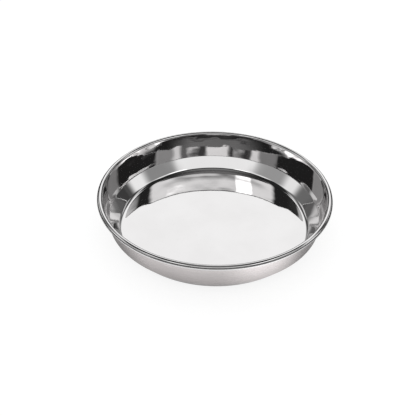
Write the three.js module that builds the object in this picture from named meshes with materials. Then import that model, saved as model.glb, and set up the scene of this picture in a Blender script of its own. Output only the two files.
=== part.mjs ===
// A round stainless steel serving plate: one sheet drawn into a flat floor with a slightly rising outer ring,
// a sloping bevel and a steep wall, with its edge rolled outward over a ring of steel wire.
// Millimetres, +Z up, origin under the middle of the floor.

import * as THREE from 'three';

// Driving dimensions of the sheet
const RIM_DIAMETER = 200; // over the rolled rim
const HEIGHT = 36.5; // from the table to the top of the rim
const SHEET = 0.7; // thickness
const FLAT_DIAMETER = 134; // of the middle of the floor, which the plate stands on
const RING_SLOPE = 2; // degrees that the outer ring of the floor rises
const BEVEL_SLOPE = 51; // degrees that the bevel rises from the table
const BEVEL_RISE = 12; // from the table to the break between bevel and wall, outside
const WALL_LEAN = 10.3; // degrees that the wall leans out from upright
const CREASE_RADIUS = 200; // inside of the bend between flat middle and ring
const EDGE_RADIUS = 6; // inside of the bend between ring and bevel
const BREAK_RADIUS = 1; // inside of the bend between bevel and wall

// Driving dimensions of the wired edge
const WIRE_DIAMETER = 2.4;
const WIRE_CLEARANCE = 0.3; // all round the wire, inside the curl
const LIP_CLEARANCE = 0.3; // between the curl's tucked edge and the wall
const WIRE_END_GAP = 0.8; // between the two butted ends of the wire

// Facets
const STEPS_AROUND = 72;
const STEPS_CREASE = 2;
const STEPS_EDGE = 6;
const STEPS_BREAK = 3;
const STEPS_CURL = 14;
const SIDES_WIRE = 8;

// The curl is round and sits with its widest point at the rim diameter and its top at the height.
const curlInside = WIRE_DIAMETER / 2 + WIRE_CLEARANCE;
const curlOutside = curlInside + SHEET;
const curlCentre = new THREE.Vector2(RIM_DIAMETER / 2 - curlOutside, HEIGHT - curlOutside);

// The tucked edge stops where the curl's outer corner is LIP_CLEARANCE short of the wall's outer face.
const lipAngle = Math.acos((curlInside - LIP_CLEARANCE) / curlOutside);

// Directions that the profile runs in, as angles from +r towards +z.
const alongFlat = 0;
const alongRing = THREE.MathUtils.degToRad(RING_SLOPE);
const alongBevel = THREE.MathUtils.degToRad(BEVEL_SLOPE);
const alongWall = THREE.MathUtils.degToRad(90 - WALL_LEAN);

// The unit vector along a direction, and the one square to it that points into the dish.
function along(direction) {
  return new THREE.Vector2(Math.cos(direction), Math.sin(direction));
}

function inward(direction) {
  return new THREE.Vector2(-Math.sin(direction), Math.cos(direction));
}

// The point where two straight stretches meet, each given by a point on it and its direction.
function meeting(pointA, alongA, pointB, alongB) {
  const across = inward(alongB);
  const between = pointB.clone().sub(pointA);
  const travel = between.dot(across) / along(alongA).dot(across);
  return along(alongA).multiplyScalar(travel).add(pointA);
}

// The wall is straight, and both of its faces run on into the curl without a kink.
// The other points are where the straight stretches of the outer face would meet with no bends.
const wallTop = inward(alongWall).multiplyScalar(curlInside).add(curlCentre);
const breakPoint = meeting(wallTop, alongWall, new THREE.Vector2(0, BEVEL_RISE), alongFlat);
const creasePoint = new THREE.Vector2(FLAT_DIAMETER / 2, 0);
const edgePoint = meeting(creasePoint, alongRing, breakPoint, alongBevel);

// The centre of a round bend whose outer face touches both straight stretches that meet at a point.
function bendCentre(point, before, after, outerRadius) {
  const bisector = inward(before).add(inward(after));
  const reach = outerRadius / (1 + Math.cos(after - before));
  return bisector.multiplyScalar(reach).add(point);
}

const creaseCentre = bendCentre(creasePoint, alongFlat, alongRing, CREASE_RADIUS + SHEET);
const edgeCentre = bendCentre(edgePoint, alongRing, alongBevel, EDGE_RADIUS + SHEET);
const breakCentre = bendCentre(breakPoint, alongBevel, alongWall, BREAK_RADIUS + SHEET);

// Points on an arc in the plane of the profile, both ends included, angles in radians from +r towards +z.
function arc(centre, radius, from, to, steps) {
  const points = [];
  for (let i = 0; i <= steps; i += 1) {
    const angle = from + ((to - from) * i) / steps;
    points.push(along(angle).multiplyScalar(radius).add(centre));
  }
  return points;
}

// A bend turns from one direction to another, and its points lie a quarter turn behind those directions.
function bend(centre, radius, before, after, steps) {
  return arc(centre, radius, before - Math.PI / 2, after - Math.PI / 2, steps);
}

// One face of the sheet from the floor to the tucked edge: raised is 0 for the lower face and SHEET for the upper.
function sheetFace(raised) {
  const curlStart = alongWall + Math.PI / 2;
  const curlEnd = alongWall - (3 * Math.PI) / 2 + lipAngle;
  return [
    new THREE.Vector2(0, raised),
    ...bend(creaseCentre, CREASE_RADIUS + SHEET - raised, alongFlat, alongRing, STEPS_CREASE),
    ...bend(edgeCentre, EDGE_RADIUS + SHEET - raised, alongRing, alongBevel, STEPS_EDGE),
    ...bend(breakCentre, BREAK_RADIUS + SHEET - raised, alongBevel, alongWall, STEPS_BREAK),
    ...arc(curlCentre, curlInside + raised, curlStart, curlEnd, STEPS_CURL),
  ];
}

function drawnDish() {
  const outline = [...sheetFace(0), ...sheetFace(SHEET).reverse()];
  const geometry = new THREE.LatheGeometry(outline, STEPS_AROUND);
  geometry.rotateX(Math.PI / 2);
  const material = new THREE.MeshStandardMaterial({ color: 0xc9c8c8, roughness: 0.12, metalness: 1 });
  const mesh = new THREE.Mesh(geometry, material);
  mesh.name = 'drawn_dish';
  return mesh;
}

// The wire's middle line: nearly a full turn, short by the gap between its ends.
class WirePath extends THREE.Curve {
  constructor(radius, height, endGap) {
    super();
    this.radius = radius;
    this.height = height;
    this.turn = 2 * Math.PI - endGap / radius;
  }

  getPoint(t, target = new THREE.Vector3()) {
    const angle = this.turn * (t - 0.5);
    return target.set(this.radius * Math.cos(angle), this.radius * Math.sin(angle), this.height);
  }
}

function rimWire() {
  const section = new THREE.Shape();
  section.absarc(0, 0, WIRE_DIAMETER / 2, 0, 2 * Math.PI);
  const geometry = new THREE.ExtrudeGeometry(section, {
    curveSegments: SIDES_WIRE / 2,
    steps: STEPS_AROUND,
    bevelEnabled: false,
    extrudePath: new WirePath(curlCentre.x, curlCentre.y, WIRE_END_GAP),
  });
  const material = new THREE.MeshStandardMaterial({ color: 0xa9a8a6, roughness: 0.35, metalness: 1 });
  const mesh = new THREE.Mesh(geometry, material);
  mesh.name = 'rim_wire';
  return mesh;
}

const plate = new THREE.Group();
plate.add(drawnDish(), rimWire());

export default plate;
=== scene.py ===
"""Looks of a round stainless steel serving plate.

The sheet is mirror polished inside and over its rolled rim, and satin brushed outside and underneath.
Metres and radians unless a comment says otherwise, +Z up, origin under the middle of the floor.
"""
import math

import bpy
import numpy as np
from mathutils import Matrix, Vector


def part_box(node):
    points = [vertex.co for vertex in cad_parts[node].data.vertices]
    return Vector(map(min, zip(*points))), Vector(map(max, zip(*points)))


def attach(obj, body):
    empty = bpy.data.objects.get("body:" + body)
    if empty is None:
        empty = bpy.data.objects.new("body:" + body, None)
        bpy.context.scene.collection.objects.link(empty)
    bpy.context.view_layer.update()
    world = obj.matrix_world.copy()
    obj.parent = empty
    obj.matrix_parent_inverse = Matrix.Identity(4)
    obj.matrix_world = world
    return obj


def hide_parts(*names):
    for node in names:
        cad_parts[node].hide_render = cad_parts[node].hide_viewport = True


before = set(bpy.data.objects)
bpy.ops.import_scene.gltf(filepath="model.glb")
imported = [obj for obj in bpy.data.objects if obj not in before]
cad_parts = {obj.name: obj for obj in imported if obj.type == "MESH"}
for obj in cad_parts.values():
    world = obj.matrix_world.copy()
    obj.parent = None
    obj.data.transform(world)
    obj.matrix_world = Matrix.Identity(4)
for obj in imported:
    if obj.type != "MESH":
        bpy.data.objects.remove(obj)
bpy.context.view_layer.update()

# Sizes of the sheet
dish_low, dish_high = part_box("drawn_dish")
RIM_RADIUS = (dish_high.x - dish_low.x) / 2
HEIGHT = dish_high.z
SHEET = 0.0007
FLAT_RADIUS = 0.067
RING_SLOPE = math.radians(2)
BEVEL_SLOPE = math.radians(51)
BEVEL_RISE = 0.012
WALL_LEAN = math.radians(10.3)
CREASE_RADIUS = 0.2
EDGE_RADIUS = 0.006
BREAK_RADIUS = 0.001

# Sizes of the wired edge
WIRE_RADIUS = 0.0012
WIRE_CLEARANCE = 0.0003
LIP_CLEARANCE = 0.00008
WIRE_END_GAP = 0.0008

# Fineness of the surfaces
AROUND = 288
ROWS_FLAT = 32
ROWS_CREASE = 12
ROWS_RING = 8
ROWS_EDGE = 20
ROWS_BEVEL = 10
ROWS_BREAK = 10
ROWS_WALL = 26
ROWS_CURL = 40
WIRE_SIDES = 16

# Unevenness of the drawn sheet: waves around, waves per metre along the sheet, depth and phase
RIPPLES = (
    (3, 9, 20e-6, 0.4),
    (4, -13, 14e-6, 3.2),
    (5, 17, 12e-6, 2.1),
    (8, -24, 9e-6, 4.0),
    (13, 38, 5e-6, 1.2),
    (22, -52, 2.4e-6, 5.3),
)
RIPPLE_CALM_RADIUS = 0.08

# Waves that drawing leaves in the wall alone, given the same way
WALL_WAVES = (
    (9, 14, 34e-6, 0.9),
    (14, -22, 26e-6, 2.6),
    (23, 34, 17e-6, 5.1),
    (37, -28, 8e-6, 3.3),
)

# Marks of drawing on the wall: how far they reach into the bend below and stop short of the rim above,
# and the lengths along the sheet over which they set in and fade
MARKS_INTO_BEND = 0.00024
MARKS_SHORT_OF_RIM = 0.00023
MARKS_SET_IN = 0.005
MARKS_FADE = 0.0055


# Profile of the sheet

def along(direction):
    """Unit vector along a direction of the profile, an angle from the radius towards the height."""
    return np.array([math.cos(direction), math.sin(direction)])


def inward(direction):
    """Unit vector square to a direction of the profile, pointing into the dish."""
    return np.array([-math.sin(direction), math.cos(direction)])


def meeting(point_a, along_a, point_b, along_b):
    """Point where two straight stretches meet, each given by a point on it and its direction."""
    across = inward(along_b)
    return point_a + along(along_a) * ((point_b - point_a) @ across) / (along(along_a) @ across)


def bend_centre(point, before, after, outer_radius):
    """Centre of the circle that touches, on the inner side, two straight stretches that meet at a point."""
    return point + (inward(before) + inward(after)) * outer_radius / (1 + math.cos(after - before))


along_flat = 0.0
along_ring = RING_SLOPE
along_bevel = BEVEL_SLOPE
along_wall = math.pi / 2 - WALL_LEAN
curl_inside = WIRE_RADIUS + WIRE_CLEARANCE
curl_outside = curl_inside + SHEET
curl_centre = np.array([RIM_RADIUS - curl_outside, HEIGHT - curl_outside])
wall_top = curl_centre + inward(along_wall) * curl_inside
break_point = meeting(wall_top, along_wall, np.array([0.0, BEVEL_RISE]), along_flat)
crease_point = np.array([FLAT_RADIUS, 0.0])
edge_point = meeting(crease_point, along_ring, break_point, along_bevel)
crease_centre = bend_centre(crease_point, along_flat, along_ring, CREASE_RADIUS + SHEET)
edge_centre = bend_centre(edge_point, along_ring, along_bevel, EDGE_RADIUS + SHEET)
break_centre = bend_centre(break_point, along_bevel, along_wall, BREAK_RADIUS + SHEET)
lip_angle = math.acos((curl_inside - LIP_CLEARANCE) / curl_outside)
curl_start = along_wall + math.pi / 2
curl_end = along_wall - 3 * math.pi / 2 + lip_angle


def arc(centre, radius, start, end, count):
    """Points centre + radius (cos a, sin a) for evenly spaced angles a, both ends included."""
    angle = np.linspace(start, end, count)
    return centre + radius * np.stack([np.cos(angle), np.sin(angle)], 1)


def bend(centre, radius, before, after, count):
    """Arc of a bend that turns the profile from one direction to another, a quarter turn behind them."""
    return arc(centre, radius, before - math.pi / 2, after - math.pi / 2, count)


def straight(start, end, count):
    """Evenly spaced points between two others, neither end included."""
    share = np.linspace(0, 1, count + 2)[1:-1, None]
    return start + (end - start) * share


def sheet_face(raised):
    """One face of the sheet as (radius, height) from the axis to the tucked edge.
    The lower face has raised = 0, and every other face is its parallel curve, raised towards the inside."""
    middle = np.array([0.0, raised])
    crease = bend(crease_centre, CREASE_RADIUS + SHEET - raised, along_flat, along_ring, ROWS_CREASE)
    edge = bend(edge_centre, EDGE_RADIUS + SHEET - raised, along_ring, along_bevel, ROWS_EDGE)
    wall_break = bend(break_centre, BREAK_RADIUS + SHEET - raised, along_bevel, along_wall, ROWS_BREAK)
    curl = arc(curl_centre, curl_inside + raised, curl_start, curl_end, ROWS_CURL)
    return np.concatenate([
        middle[None],
        straight(middle, crease[0], ROWS_FLAT),
        crease,
        straight(crease[-1], edge[0], ROWS_RING),
        edge,
        straight(edge[-1], wall_break[0], ROWS_BEVEL),
        wall_break,
        straight(wall_break[-1], curl[0], ROWS_WALL),
        curl,
    ])


def length_along(profile):
    """Running length of a profile from its first point."""
    steps = np.linalg.norm(np.diff(profile, axis=0), axis=1)
    return np.concatenate([[0.0], np.cumsum(steps)])


def sheet_normals(profile):
    """Unit normals of a profile, a quarter turn to the left of its running direction, so into the dish."""
    run = np.gradient(profile, axis=0)
    run /= np.linalg.norm(run, axis=1)[:, None]
    return np.stack([-run[:, 1], run[:, 0]], 1)


# The middle of the sheet, and the lengths along it where the straight wall and its marks start and end
sheet_middle = sheet_face(SHEET / 2)
middle_length = length_along(sheet_middle)
wall_foot = middle_length[-ROWS_CURL - ROWS_WALL - 1]
wall_head = middle_length[-ROWS_CURL]
marks_foot = wall_foot - MARKS_INTO_BEND
marks_head = wall_head - MARKS_SHORT_OF_RIM


def waves_of(table, turn, length):
    """Sum, over the rows of a table, of depth times the cosine of waves around times the turn,
    plus a full turn times waves per metre times the length, plus the phase."""
    total = np.zeros(np.broadcast(turn, length).shape)
    for waves_around, waves_per_metre, depth, phase in table:
        total += depth * np.cos(waves_around * turn + 2 * math.pi * waves_per_metre * length + phase)
    return total


def wall_share(length):
    """1 on the middle of the wall, with a smooth step down to 0 at the bevel below and at the rim above."""
    set_in = (length - marks_foot) / MARKS_SET_IN
    faded = (marks_head - length) / MARKS_FADE
    share = np.clip(np.minimum(set_in, faded), 0, 1)
    return share * share * (3 - 2 * share)


def ripple(turn, length, radius):
    """Unevenness of the sheet: long ripples calmed towards the axis, and waves in the wall."""
    calm = np.minimum(1, radius / RIPPLE_CALM_RADIUS) ** 2
    return calm * waves_of(RIPPLES, turn, length) + wall_share(length) * waves_of(WALL_WAVES, turn, length)


# Surfaces

# Name of the map that each surface carries
TURNED_MAP = "turned"


def cell_corners(rows, columns):
    """Row and column of the four corners of each cell of a grid whose columns close into a ring.
    The last column's cells count on past the seam."""
    i, j = np.meshgrid(np.arange(rows - 1), np.arange(columns), indexing="ij")
    i, j = i.ravel(), j.ravel()
    return np.stack([i, i, i + 1, i + 1], 1), np.stack([j, j + 1, j + 1, j], 1)


def fan_columns(columns):
    """Columns of the corners of a fan's triangles: first the hub's, then those of two ring vertices."""
    j = np.arange(columns)
    return np.stack([j, j, j + 1], 1)


def fan(corner_columns, columns, hub, ring_start):
    """Triangles from a hub to a closed ring of vertices, which are numbered from ring_start."""
    faces = ring_start + corner_columns % columns
    faces[:, 0] = hub
    return faces


def turned_round(corners):
    """The same faces with their corners in the other order, from the same first corner."""
    return np.roll(corners[:, ::-1], 1, axis=1)


def mesh_of(name, verts, faces, corner_uv):
    """Mesh from whole arrays: vertices, a list of face arrays, and a map place for each corner in order."""
    mesh = bpy.data.meshes.new(name)
    mesh.from_pydata(verts.tolist(), [], [face for group in faces for face in group.tolist()])
    turned = mesh.uv_layers.new(name=TURNED_MAP, do_init=False)
    turned.uv.foreach_set("vector", corner_uv.astype(np.float32).ravel())
    mesh.shade_smooth()
    return mesh


def rolled_dish():
    """The sheet revolved: the point (r, z) of the profile at turn t is (r cos t, r sin t, z).
    Both faces are moved by the same ripple along the normal, so the sheet keeps its thickness.
    The map holds the turn as a share, and the length along the sheet from the axis."""
    lower = sheet_face(0.0)
    upper = sheet_face(SHEET)
    normals = sheet_normals(sheet_middle)
    profile = np.concatenate([lower, upper[::-1]])
    normals = np.concatenate([normals, normals[::-1]])
    length = np.concatenate([middle_length, middle_length[::-1]])

    turn = np.arange(AROUND) * (2 * math.pi / AROUND)
    uneven = ripple(turn[None], length[:, None], profile[:, :1])
    radius = profile[:, :1] + normals[:, :1] * uneven
    height = profile[:, 1:] + normals[:, 1:] * uneven
    grid = np.stack([radius * np.cos(turn), radius * np.sin(turn), height], 2)
    rings = grid[1:-1]
    poles = grid[[0, -1], 0]
    verts = np.concatenate([rings.reshape(-1, 3), poles])

    rows = len(rings)
    under_pole = rows * AROUND
    upper_pole = under_pole + 1
    cell_i, cell_j = cell_corners(rows, AROUND)
    cap_j = fan_columns(AROUND)
    foot_j = turned_round(cap_j)
    foot = fan(foot_j, AROUND, under_pole, 0)
    cells = cell_i * AROUND + cell_j % AROUND
    cap = fan(cap_j, AROUND, upper_pole, (rows - 1) * AROUND)

    ring_length = length[1:-1]
    foot_v = np.tile([0, ring_length[0], ring_length[0]], AROUND)
    cap_v = np.tile([0, ring_length[-1], ring_length[-1]], AROUND)
    u = np.concatenate([foot_j.ravel(), cell_j.ravel(), cap_j.ravel()]) / AROUND
    v = np.concatenate([foot_v, ring_length[cell_i].ravel(), cap_v])
    mesh = mesh_of("dish", verts, [foot, cells, cap], np.stack([u, v], 1))

    # The satin of the lower face ends halfway round the inside of the curl, out of sight.
    satin_rows = len(lower) - 1 - ROWS_CURL // 2
    face_row = np.concatenate([np.zeros(AROUND), cell_i[:, 0], np.full(AROUND, rows)])
    mesh.polygons.foreach_set("material_index", (face_row < satin_rows).astype(np.int32))
    return mesh


def wire_ring():
    """A circle of the wire's radius carried along most of a level ring, with flat ends that butt together:
    ((R + a cos s) cos t, (R + a cos s) sin t, Z + a sin s).
    The map holds s as a share, and the length along the wire."""
    ring_radius, ring_height = curl_centre
    half_turn = math.pi - WIRE_END_GAP / ring_radius / 2
    sections = AROUND + 1
    turn = np.linspace(-half_turn, half_turn, sections)[:, None]
    side = np.arange(WIRE_SIDES) * (2 * math.pi / WIRE_SIDES)
    reach = ring_radius + WIRE_RADIUS * np.cos(side)
    level = np.broadcast_to(ring_height + WIRE_RADIUS * np.sin(side), (sections, WIRE_SIDES))
    tube = np.stack([reach * np.cos(turn), reach * np.sin(turn), level], 2).reshape(-1, 3)
    ends = turn[[0, -1], 0]
    hubs = np.stack([ring_radius * np.cos(ends), ring_radius * np.sin(ends), np.full(2, ring_height)], 1)

    first_hub = sections * WIRE_SIDES
    last_hub = first_hub + 1
    cell_i, cell_j = (turned_round(corners) for corners in cell_corners(sections, WIRE_SIDES))
    cells = cell_i * WIRE_SIDES + cell_j % WIRE_SIDES
    end_j = fan_columns(WIRE_SIDES)
    first = fan(end_j, WIRE_SIDES, first_hub, 0)
    last = fan(turned_round(end_j), WIRE_SIDES, last_hub, (sections - 1) * WIRE_SIDES)

    section_step = ring_radius * 2 * half_turn / AROUND
    tube_uv = np.stack([cell_j / WIRE_SIDES, cell_i * section_step], 2).reshape(-1, 2)
    end_uv = np.zeros((first.size + last.size, 2))
    verts = np.concatenate([tube, hubs])
    return mesh_of("wire", verts, [cells, first, last], np.concatenate([tube_uv, end_uv]))


# Nodes

def add_node(tree, kind, sockets=None, **settings):
    """Adds a shader node, sets its properties, and links or sets the sockets given by name or number."""
    made = tree.nodes.new("ShaderNode" + kind)
    for name, value in settings.items():
        setattr(made, name, value)
    for key, value in (sockets or {}).items():
        if isinstance(value, bpy.types.NodeSocket):
            tree.links.new(value, made.inputs[key])
        else:
            made.inputs[key].default_value = value
    return made


def maths(tree, operation, *values):
    """Output of a Math node on sockets or numbers."""
    return add_node(tree, "Math", dict(enumerate(values)), operation=operation).outputs[0]


def vectors(tree, operation, sockets):
    """Output of a Vector Math node that gives a vector."""
    return add_node(tree, "VectorMath", sockets, operation=operation).outputs["Vector"]


def stepped(tree, value, low, high, to_low=0.0, to_high=1.0, smooth=True):
    """A value from low to high carried to another range and held there, by a smooth step or evenly."""
    way = "SMOOTHSTEP" if smooth else "LINEAR"
    sockets = {"Value": value, "From Min": low, "From Max": high, "To Min": to_low, "To Max": to_high}
    return add_node(tree, "MapRange", sockets, interpolation_type=way).outputs["Result"]


def weighted(tree, *pairs):
    """Sum of sockets, each times its weight."""
    total = None
    for socket, weight in pairs:
        part = maths(tree, "MULTIPLY", socket, weight)
        total = part if total is None else maths(tree, "ADD", total, part)
    return total


def own_place(tree):
    """Place in the piece's own space."""
    return add_node(tree, "TexCoord").outputs["Object"]


def turned_place(tree):
    """Place on the piece's own map."""
    return add_node(tree, "UVMap", uv_map=TURNED_MAP).outputs["UV"]


def length_along_sheet(tree):
    """The map's second place, which is the length along the sheet from the axis."""
    return add_node(tree, "SeparateXYZ", {0: turned_place(tree)}).outputs["Y"]


def noise(tree, spot, scale, detail):
    """Soft noise between 0 and 1 at a place."""
    return add_node(tree, "TexNoise", {"Vector": spot, "Scale": scale, "Detail": detail}).outputs["Fac"]


def clouds(tree, per_metre, detail):
    """Soft blotches that lie in the piece's own space."""
    return noise(tree, own_place(tree), per_metre, detail)


def turned_lines(tree, around, across, detail):
    """Lines that run round the plate: noise on the bearing's unit circle times around,
    and on the length along the sheet times across, so they are long, fine and without a seam."""
    level = vectors(tree, "MULTIPLY", {0: own_place(tree), 1: (1, 1, 0)})
    bearing = vectors(tree, "NORMALIZE", {0: level})
    circle = vectors(tree, "SCALE", {0: bearing, "Scale": around})
    climb = add_node(tree, "CombineXYZ", {"Z": maths(tree, "MULTIPLY", length_along_sheet(tree), across)})
    return noise(tree, vectors(tree, "ADD", {0: circle, 1: climb.outputs[0]}), 1.0, detail)


def blend(tree, share, first, second):
    """Colour between two others, each a socket or three numbers."""
    made = add_node(tree, "Mix", {"Factor": share}, data_type="RGBA")
    ends = [socket for socket in made.inputs if socket.type == "RGBA"]
    for end, colour in zip(ends, (first, second)):
        if isinstance(colour, bpy.types.NodeSocket):
            tree.links.new(colour, end)
        else:
            end.default_value = (*colour, 1)
    return next(socket for socket in made.outputs if socket.type == "RGBA")


def metal(name):
    """A new metal material with its node tree and shader."""
    material = bpy.data.materials.new(name)
    material.use_nodes = True
    tree = material.node_tree
    shader = tree.nodes["Principled BSDF"]
    shader.inputs["Metallic"].default_value = 1.0
    return material, tree, shader


def grooves(tree, shader, height, depth):
    """Bumps the shader's normal by a height of 0 to 1 times a depth in metres."""
    bump = add_node(tree, "Bump", {"Height": height, "Strength": 1.0, "Distance": depth})
    tree.links.new(bump.outputs["Normal"], shader.inputs["Normal"])


# Materials

# Range that one noise spans, and the narrower one that a sum of several spans
NOISE_SPAN = (0.3, 0.7)
SUM_SPAN = (0.36, 0.64)

# The mirror finish: blotches as number per metre and detail, lines as around, across and detail
MIRROR_HAZE = (26, 3)
MIRROR_RINGS = (1.2, 700, 2)
MIRROR_HAIRLINES = (9, 5200, 3)
WALL_STREAKS = (1.7, 210, 2)
WALL_DENTS = (80, 2)
MIRROR_TONES = ((0.815, 0.806, 0.806), (0.85, 0.842, 0.843))
MIRROR_ROUGHNESS = (0.015, 0.04)
MIRROR_GROOVE_DEPTH = 18e-6

# The satin finish, given the same way, with its colour painted darker low down as painted shade and lighter
# high up as painted light
SATIN_HAZE = (22, 3)
SATIN_BANDS = (1.5, 330, 2)
SATIN_LINES = (7, 2600, 4)
SATIN_SHADED_TONES = ((0.38, 0.357, 0.355), (0.45, 0.423, 0.421))
SATIN_LIT_TONES = ((0.79, 0.75, 0.748), (0.86, 0.818, 0.816))
SATIN_SPAN = (0.3, 0.66)
SATIN_ROUGHNESS = (0.19, 0.3)
SATIN_GROOVE_DEPTH = 3e-6
SATIN_STRETCH = 0.3
QUARTER_TURN = 0.25

# Heights between which the outside's colour goes from painted shade low down to painted light high up
PAINTED_SHADE_BELOW = 0.006
PAINTED_LIGHT_ABOVE = 0.034

# Heights between which the base is rubbed smoother by tables, and by how much
RUBBED_NONE = 0.0022
RUBBED_FULL = 0.0004
RUBBED_SHARE = 0.1

# The wire's finish: lines around and along its map
WIRE_LINES = (40, 60, 1)
WIRE_DETAIL = 3
WIRE_TONES = ((0.5, 0.49, 0.48), (0.64, 0.63, 0.62))
WIRE_ROUGHNESS = (0.3, 0.45)
WIRE_GROOVE_DEPTH = 4e-6


def mirror_polish():
    """Buffed steel: near mirror, with faint rings of the buffing wheel, hairlines and a soft uneven haze.
    The wall and the rim also have streaks and soft dents from drawing."""
    material, tree, shader = metal("mirror_polish")
    haze = clouds(tree, *MIRROR_HAZE)
    rings = turned_lines(tree, *MIRROR_RINGS)
    hairlines = turned_lines(tree, *MIRROR_HAIRLINES)
    streaks = turned_lines(tree, *WALL_STREAKS)
    dents = clouds(tree, *WALL_DENTS)
    drawn = stepped(tree, length_along_sheet(tree), marks_foot, marks_foot + MARKS_SET_IN)
    colour = blend(tree, stepped(tree, haze, *NOISE_SPAN), *MIRROR_TONES)
    tree.links.new(colour, shader.inputs["Base Color"])
    dulled = weighted(tree, (haze, 0.45), (rings, 0.3), (hairlines, 0.25))
    tree.links.new(stepped(tree, dulled, *SUM_SPAN, *MIRROR_ROUGHNESS), shader.inputs["Roughness"])
    worked = maths(tree, "MULTIPLY", weighted(tree, (streaks, 1.0), (dents, 2.6)), drawn)
    height = weighted(tree, (rings, 0.1), (hairlines, 0.03), (worked, 1.0))
    grooves(tree, shader, height, MIRROR_GROOVE_DEPTH)
    return material


def satin_brush():
    """Steel brushed round and round: level lines, a soft sheen up and down the wall, rubbed at the base,
    and its colour painted darker low down as painted shade and lighter high up as painted light.
    """
    material, tree, shader = metal("satin_brush")
    haze = clouds(tree, *SATIN_HAZE)
    bands = turned_lines(tree, *SATIN_BANDS)
    lines = turned_lines(tree, *SATIN_LINES)
    height = add_node(tree, "SeparateXYZ", {0: own_place(tree)}).outputs["Z"]
    tone = weighted(tree, (haze, 0.35), (bands, 0.25), (lines, 0.4))
    mottle = stepped(tree, tone, *SUM_SPAN)
    # Painted shade and light: a darker tone low down and a lighter tone high up, blended by height
    painted_shade_tone = blend(tree, mottle, *SATIN_SHADED_TONES)
    painted_light_tone = blend(tree, mottle, *SATIN_LIT_TONES)
    painted_light_share = stepped(tree, height, PAINTED_SHADE_BELOW, PAINTED_LIGHT_ABOVE, smooth=False)
    tree.links.new(blend(tree, painted_light_share, painted_shade_tone, painted_light_tone), shader.inputs["Base Color"])
    rubbed = stepped(tree, height, RUBBED_NONE, RUBBED_FULL)
    dulled = maths(tree, "SUBTRACT", tone, maths(tree, "MULTIPLY", rubbed, RUBBED_SHARE))
    tree.links.new(stepped(tree, dulled, *SATIN_SPAN, *SATIN_ROUGHNESS), shader.inputs["Roughness"])
    shader.inputs["Anisotropic"].default_value = SATIN_STRETCH
    shader.inputs["Anisotropic Rotation"].default_value = QUARTER_TURN
    around = add_node(tree, "Tangent", direction_type="UV_MAP", uv_map=TURNED_MAP)
    tree.links.new(around.outputs[0], shader.inputs["Tangent"])
    grooves(tree, shader, weighted(tree, (bands, 0.3), (lines, 0.7)), SATIN_GROOVE_DEPTH)
    return material


def drawn_wire():
    """Dull steel wire with fine lines along it from the drawing die."""
    material, tree, shader = metal("drawn_wire")
    stretched = add_node(tree, "Mapping", {"Vector": turned_place(tree), "Scale": WIRE_LINES}).outputs[0]
    lines = noise(tree, stretched, 1.0, WIRE_DETAIL)
    tree.links.new(blend(tree, lines, *WIRE_TONES), shader.inputs["Base Color"])
    tree.links.new(stepped(tree, lines, *NOISE_SPAN, *WIRE_ROUGHNESS), shader.inputs["Roughness"])
    grooves(tree, shader, lines, WIRE_GROOVE_DEPTH)
    return material


# Pieces

def add_piece(name, mesh, materials, node):
    """Links a mesh as a piece that rides on the plate and stands for a CAD node."""
    for material in materials:
        mesh.materials.append(material)
    piece = bpy.data.objects.new(name, mesh)
    bpy.context.scene.collection.objects.link(piece)
    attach(piece, "root")
    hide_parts(node)


add_piece("dish", rolled_dish(), [mirror_polish(), satin_brush()], "drawn_dish")
add_piece("wire", wire_ring(), [drawn_wire()], "rim_wire")


# Studio

# What polished metal sees, each laid over the ones before it: bearing of the middle (0 right, 90 back),
# half width, lowest and highest elevation, and the soft edge of all these, in degrees, then level
PANELS = (
    (-90, 60, -8, 28, 3, 0.14),  # dim wall in front
    (-85, 90, 39, 57, 4, 0.95),  # long light over the front
    (-131, 11, 50, 57, 2, 2.0),  # bright strip at its left
    (-35, 14, 45, 52, 2, 2.2),  # bright strip at its right
    (84, 58, 14, 49, 3, 1.02),  # white wall behind
    (186, 28, 14, 42, 6, 0.9),  # white screen on the left
    (-162, 18, 20, 43, 6, 0.35),  # grey card on the left, towards the front
    (-4, 24, 14, 42, 6, 0.95),  # white screen on the right
    (-18, 18, 18, 43, 6, 0.28),  # grey card on the right, towards the front
    (149, 12, 10, 46, 6, 0.16),  # dark card on the left, towards the back
    (124, 14, 8, 46, 6, 0.06),  # darker card beside it
    (43, 21, 8, 45, 6, 0.05),  # dark card on the right, towards the back
    (136, 10, 21, 31, 4, 0.8),  # light strip on the left cards
    (45, 10, 21, 31, 4, 0.6),  # light strip on the right card
)

# The rest of what it sees: a dim room, and a grey ceiling that sets in between two elevations
ROOM_LEVEL = 0.02
CEILING_LEVEL = 0.2
CEILING_FROM = math.radians(66)
CEILING_FULL = math.radians(82)

# Least level part of a direction, so that straight up has a bearing too
LEAST_LEVEL = 1e-4

# The floor lies under the deepest ripple. A share of it glows, and a larger one for the camera
FLOOR_HALF = 4.0
FLOOR_LEVEL = -sum(depth for _, _, depth, _ in RIPPLES)
FLOOR_COLOUR = (0.9, 0.9, 0.9, 1)
FLOOR_GLOW = 1.1
FLOOR_GLOW_SHARE = 0.2
FLOOR_GLOW_SEEN = 0.55

# Band beside the plate where metal sees the floor darker: its middle, core and edge lie along Y
SHADE_DEPTH = 0.52
SHADE_MIDDLE = -0.02
SHADE_CORE = 0.02
SHADE_EDGE = 0.065

# Pool of light that metal sees on the floor in front
POOL_PLACE = (0.056, -0.096, 0)
POOL_CORE = 0.008
POOL_EDGE = 0.052
POOL_GLOW = 0.4

# Black ring round the plate that metal alone sees
FLAG_HOLE = 0.165
FLAG_HOLE_FORWARD = 0.01
FLAG_OUTER = 1.2
FLAG_HEIGHT = 0.001
FELT_COLOUR = (0.02, 0.02, 0.02, 1)
FELT_ROUGHNESS = 0.9


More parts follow.
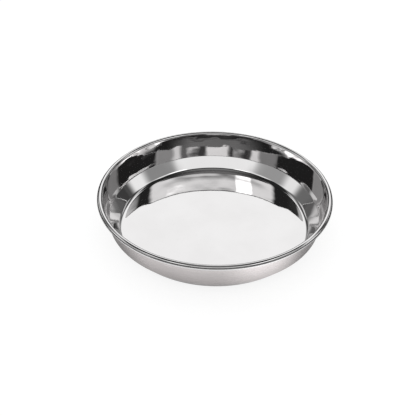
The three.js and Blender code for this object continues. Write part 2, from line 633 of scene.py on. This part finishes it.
def panel_share(tree, x, y, flat, elevation, window):
    """A smooth window in bearing, by the cosine from the panel's middle, times one in elevation."""
    bearing, half, lowest, highest, soft = window
    middle = math.radians(bearing)
    lean = weighted(tree, (x, math.cos(middle)), (y, math.sin(middle)))
    facing = maths(tree, "DIVIDE", lean, flat)
    far = math.cos(math.radians(half + soft))
    near = math.cos(math.radians(half - soft))
    side = stepped(tree, facing, far, near)
    foot = stepped(tree, elevation, math.radians(lowest - soft), math.radians(lowest + soft))
    head = stepped(tree, elevation, math.radians(highest + soft), math.radians(highest - soft))
    return maths(tree, "MULTIPLY", maths(tree, "MULTIPLY", side, foot), head)


def studio_world():
    """White all round for the camera and for matt surfaces.
    Polished metal sees a dim room with a grey ceiling and soft panels, as a function of direction."""
    world = bpy.data.worlds.new("studio")
    world.use_nodes = True
    bpy.context.scene.world = world
    tree = world.node_tree
    tree.nodes.clear()
    direction = add_node(tree, "TexCoord").outputs["Generated"]
    x, y, z = add_node(tree, "SeparateXYZ", {0: direction}).outputs
    level_square = maths(tree, "ADD", maths(tree, "MULTIPLY", x, x), maths(tree, "MULTIPLY", y, y))
    flat = maths(tree, "MAXIMUM", maths(tree, "SQRT", level_square), LEAST_LEVEL)
    elevation = maths(tree, "ARCTAN2", z, flat)
    light = stepped(tree, elevation, CEILING_FROM, CEILING_FULL, ROOM_LEVEL, CEILING_LEVEL)
    for *window, level in PANELS:
        share = panel_share(tree, x, y, flat, elevation, window)
        light = maths(tree, "MULTIPLY_ADD", share, maths(tree, "SUBTRACT", level, light), light)
    room = add_node(tree, "Background", {"Color": (1, 1, 1, 1), "Strength": light})
    white = add_node(tree, "Background", {"Color": (1, 1, 1, 1), "Strength": 1.0})
    mirrored = add_node(tree, "LightPath").outputs["Is Glossy Ray"]
    mix = add_node(tree, "MixShader", {0: mirrored, 1: white.outputs[0], 2: room.outputs[0]})
    add_node(tree, "OutputWorld", {"Surface": mix.outputs[0]})


def pale_floor():
    """Matt white that glows in part, and more so for the camera, so that it is white and keeps the shadow.
    Metal sees it darker beside the plate, and sees a pool of lamp light at the front."""
    material = bpy.data.materials.new("pale_floor")
    material.use_nodes = True
    tree = material.node_tree
    tree.nodes.clear()
    path = add_node(tree, "LightPath").outputs
    matt = add_node(tree, "BsdfDiffuse", {"Color": FLOOR_COLOUR})
    glow = add_node(tree, "Emission", {"Strength": FLOOR_GLOW})
    glow_share = maths(tree, "MULTIPLY_ADD", path["Is Camera Ray"], FLOOR_GLOW_SEEN, FLOOR_GLOW_SHARE)
    plain = add_node(tree, "MixShader", {0: glow_share, 1: matt.outputs[0], 2: glow.outputs[0]})

    spot = own_place(tree)
    back = add_node(tree, "SeparateXYZ", {0: spot}).outputs["Y"]
    off_band = maths(tree, "ABSOLUTE", maths(tree, "SUBTRACT", back, SHADE_MIDDLE))
    shade = stepped(tree, off_band, SHADE_EDGE, SHADE_CORE, 0.0, SHADE_DEPTH)
    mirrored_shade = maths(tree, "MULTIPLY", path["Is Glossy Ray"], shade)
    shaded = add_node(tree, "MixShader", {0: mirrored_shade, 1: plain.outputs[0]})

    reach = add_node(tree, "VectorMath", {0: spot, 1: POOL_PLACE}, operation="DISTANCE").outputs["Value"]
    pool = stepped(tree, reach, POOL_EDGE, POOL_CORE, 0.0, POOL_GLOW)
    mirrored_pool = maths(tree, "MULTIPLY", path["Is Glossy Ray"], pool)
    lamp_light = add_node(tree, "Emission", {"Strength": mirrored_pool})
    lit = add_node(tree, "AddShader", {0: shaded.outputs[0], 1: lamp_light.outputs[0]})
    add_node(tree, "OutputMaterial", {"Surface": lit.outputs[0]})
    return material


def black_felt():
    """Plain black, for what only metal sees."""
    material = bpy.data.materials.new("black_felt")
    material.use_nodes = True
    shader = material.node_tree.nodes["Principled BSDF"]
    shader.inputs["Base Color"].default_value = FELT_COLOUR
    shader.inputs["Roughness"].default_value = FELT_ROUGHNESS
    return material


def add_stage(name, verts, faces, material):
    """Links a mesh that belongs to the studio and not to the plate."""
    mesh = bpy.data.meshes.new(name)
    mesh.from_pydata(verts.tolist(), [], faces.tolist())
    mesh.materials.append(material)
    stage = bpy.data.objects.new(name, mesh)
    bpy.context.scene.collection.objects.link(stage)
    return stage


def studio_floor():
    """A level square, with its four corners counted round so that it faces up."""
    corners = np.array([(-1, -1, 0), (1, -1, 0), (1, 1, 0), (-1, 1, 0)]) * FLOOR_HALF
    corners[:, 2] = FLOOR_LEVEL
    add_stage("floor", corners, np.arange(4)[None], pale_floor())


def dark_flags():
    """A flat black ring between two circles, laid round the plate with its hole a little forward.
    Only polished metal sees it, so that the rim's outer edge stands out from the white floor."""
    turn = np.arange(AROUND) * (2 * math.pi / AROUND)
    circle = np.stack([np.cos(turn), np.sin(turn), np.zeros(AROUND)], 1)
    level = np.array([0, 0, FLAG_HEIGHT])
    hole = circle * FLAG_HOLE + level - np.array([0, FLAG_HOLE_FORWARD, 0])
    verts = np.concatenate([hole, circle * FLAG_OUTER + level])
    j = np.arange(AROUND)
    following = (j + 1) % AROUND
    faces = np.stack([j, AROUND + j, AROUND + following, following], 1)
    flags = add_stage("flags", verts, faces, black_felt())
    flags.visible_camera = False
    flags.visible_diffuse = False
    flags.visible_shadow = False


# The photograph's viewpoint, turned a little off the plate's middle. Focal length and frame are in pixels
CAMERA_TARGET_HEIGHT = 0.018
CAMERA_ELEVATION = 0.6385
CAMERA_DISTANCE = 0.4735
CAMERA_YAW = 0.01186
CAMERA_PITCH = -0.0063
CAMERA_ROLL = 0.02294
FOCAL_PIXELS = 538.9
FRAME_PIXELS = 416
SENSOR_MM = 36
CLIP_START = 0.01


def photograph_camera():
    """Looks at the plate's middle from the front and above, then is yawed, pitched and rolled."""
    right = Vector((1, 0, 0))
    up = Vector((0, math.sin(CAMERA_ELEVATION), math.cos(CAMERA_ELEVATION)))
    back = right.cross(up)
    middle = Vector((0, 0, CAMERA_TARGET_HEIGHT))
    spot = middle + back * CAMERA_DISTANCE
    yaw = Matrix.Rotation(CAMERA_YAW, 3, up)
    right, back = yaw @ right, yaw @ back
    pitch = Matrix.Rotation(CAMERA_PITCH, 3, right)
    up, back = pitch @ up, pitch @ back
    roll = Matrix.Rotation(CAMERA_ROLL, 3, back)
    right, up = roll @ right, roll @ up
    lens = bpy.data.cameras.new("camera")
    lens.sensor_width = SENSOR_MM
    lens.lens = FOCAL_PIXELS / FRAME_PIXELS * SENSOR_MM
    lens.clip_start = CLIP_START
    camera = bpy.data.objects.new("camera", lens)
    axes = Matrix((right, up, back)).transposed()
    camera.matrix_world = Matrix.Translation(spot) @ axes.to_4x4()
    bpy.context.scene.collection.objects.link(camera)
    bpy.context.scene.camera = camera


studio_world()
studio_floor()
dark_flags()
photograph_camera()
bpy.context.scene.view_settings.view_transform = "Standard"
